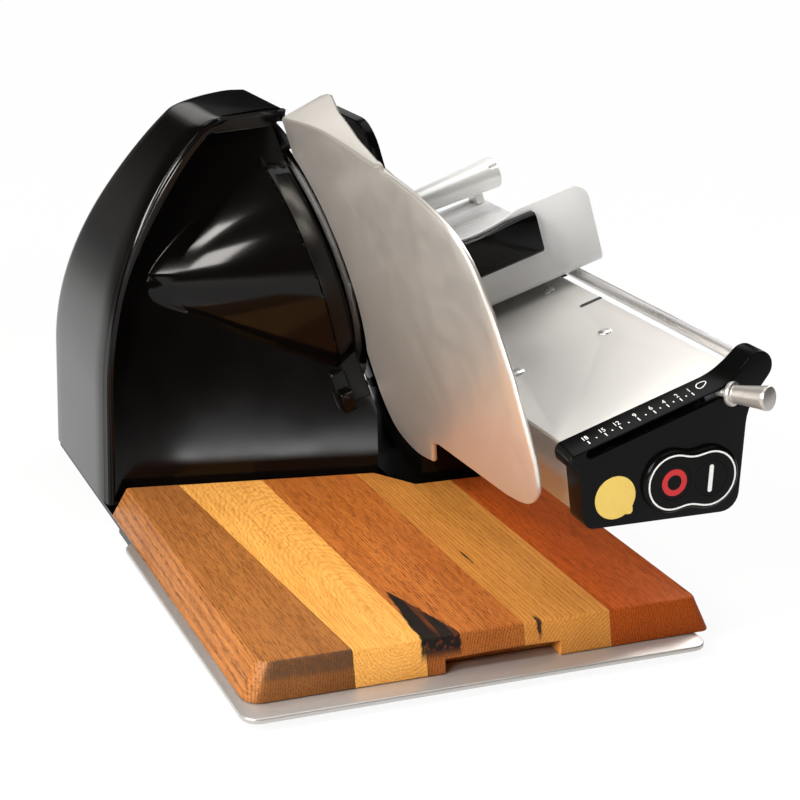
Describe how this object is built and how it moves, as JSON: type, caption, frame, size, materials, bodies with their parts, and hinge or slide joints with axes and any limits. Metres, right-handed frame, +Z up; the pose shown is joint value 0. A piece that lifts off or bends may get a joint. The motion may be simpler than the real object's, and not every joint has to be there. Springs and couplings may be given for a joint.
{
  "type": "food slicer",
  "caption": "Gravity-feed food slicer with a leaning round blade, sail-shaped gauge plate, sliding carriage with pusher, and a striped oak landing board on its tray.",
  "frame": {"origin": "on the floor under the centre of the overall footprint", "axes": "+X to the carriage side, +Y to the back, +Z up; the board and the controls face -Y"},
  "size_m": [0.4058, 0.6132, 0.3523],
  "materials": {
    "rubber": "matt",
    "satin_aluminium": "satin anodised",
    "black_plastic": "semi-gloss",
    "black_lacquer": "high-gloss lacquer",
    "red_oak": "oiled",
    "pale_oak": "oiled",
    "polished_steel": "polished",
    "brushed_steel": "fine brushed",
    "dark_steel": "dull",
    "brass": "turned"
  },
  "bodies": {
    "base": {"foot_front_left": "rubber", "foot_front_right": "rubber", "foot_rear_left": "rubber", "foot_rear_right": "rubber", "tray": "satin_aluminium", "base_plate": "black_plastic", "housing": "black_lacquer", "cord_inlet": "black_plastic", "slice_deflector": "black_plastic", "deflector_catch": "black_plastic", "bearing_block": "dark_steel", "bearing_inner": "polished_steel", "bearing_outer": "polished_steel", "motor_body": "dark_steel", "motor_bracket": "dark_steel", "drive_belt": "rubber", "ring_guard": "black_plastic", "pedestal": "black_plastic", "arm_body": "satin_aluminium", "arm_end_cap": "black_plastic", "guide_rod": "polished_steel", "deck": "brushed_steel", "deck_rivet_1": "polished_steel", "deck_rivet_2": "polished_steel", "deck_rivet_3": "polished_steel", "deck_rivet_4": "polished_steel", "control_panel": "black_plastic", "switch_bezel": "black_plastic", "switch_body": "black_plastic"},
    "board": {"board_stave_1": "red_oak", "board_stave_2": "pale_oak", "board_stave_3": "red_oak", "board_stave_4": "pale_oak", "board_stave_5": "red_oak"},
    "blade_unit": {"blade": "polished_steel", "blade_hub": "dark_steel", "blade_cover": "satin_aluminium", "cover_screw_1": "polished_steel", "cover_screw_2": "polished_steel", "cover_screw_3": "polished_steel", "blade_shaft": "polished_steel", "blade_pulley": "black_plastic"},
    "motor_rotor": {"motor_shaft": "polished_steel", "motor_pulley": "brass"},
    "gauge": {"gauge_plate": "satin_aluminium", "gauge_rod": "polished_steel"},
    "lever": {"thickness_lever": "satin_aluminium", "lever_slider": "dark_steel"},
    "carriage": {"food_table": "satin_aluminium", "slide_block": "black_plastic", "glide_shoe": "black_plastic", "carriage_grip": "black_lacquer", "rail_post_left": "satin_aluminium", "rail_post_right": "satin_aluminium", "pusher_rail": "polished_steel"},
    "pusher_carrier": {"pusher_sleeve": "black_plastic"},
    "pusher": {"press_plate": "black_plastic", "pusher_handle": "satin_aluminium"},
    "off_key": {"off_button": "black_plastic"},
    "on_key": {"on_button": "black_plastic"}
  },
  "joints": [
    {"name": "board_slide", "type": "slide", "parent": "base", "child": "board", "axis": [0, -1, 0], "range_m": [0, 0.3]},
    {"name": "blade_spin", "type": "hinge", "parent": "base", "child": "blade_unit", "pos_m": [0.00134, 0.17365, 0.19749], "axis": [0.9469, 0, 0.3214], "continuous": true},
    {"name": "motor_spin", "type": "hinge", "parent": "base", "child": "motor_rotor", "pos_m": [-0.03193, 0.17365, 0.09327], "axis": [0.9469, 0, 0.3214], "continuous": true},
    {"name": "gauge_slide", "type": "slide", "parent": "base", "child": "gauge", "axis": [-0.9469, 0, -0.3214], "range_m": [0, 0.018]},
    {"name": "lever_slide", "type": "slide", "parent": "base", "child": "lever", "axis": [-0.9469, 0, -0.3214], "range_m": [0, 0.104]},
    {"name": "carriage_slide", "type": "slide", "parent": "base", "child": "carriage", "axis": [0, -1, 0], "range_m": [0, 0.215]},
    {"name": "pusher_slide", "type": "slide", "parent": "carriage", "child": "pusher_carrier", "axis": [0.9469, 0, 0.3214], "range_m": [-0.034, 0.092]},
    {"name": "pusher_swing", "type": "hinge", "parent": "pusher_carrier", "child": "pusher", "pos_m": [0.08068, 0.21665, 0.20331], "axis": [-0.9469, 0, -0.3214], "range_deg": [0, 100]},
    {"name": "off_press", "type": "slide", "parent": "base", "child": "off_key", "axis": [0, 1, 0], "range_m": [0, 0.0015], "stiffness_N_per_m": 300},
    {"name": "on_press", "type": "slide", "parent": "base", "child": "on_key", "axis": [0, 1, 0], "range_m": [0, 0.0015], "stiffness_N_per_m": 300}
  ],
  "couplings": [
    {"joint": "motor_spin", "follows": "blade_spin", "ratio": 3.7143},
    {"joint": "lever_slide", "follows": "gauge_slide", "ratio": 5.7777}
  ]
}
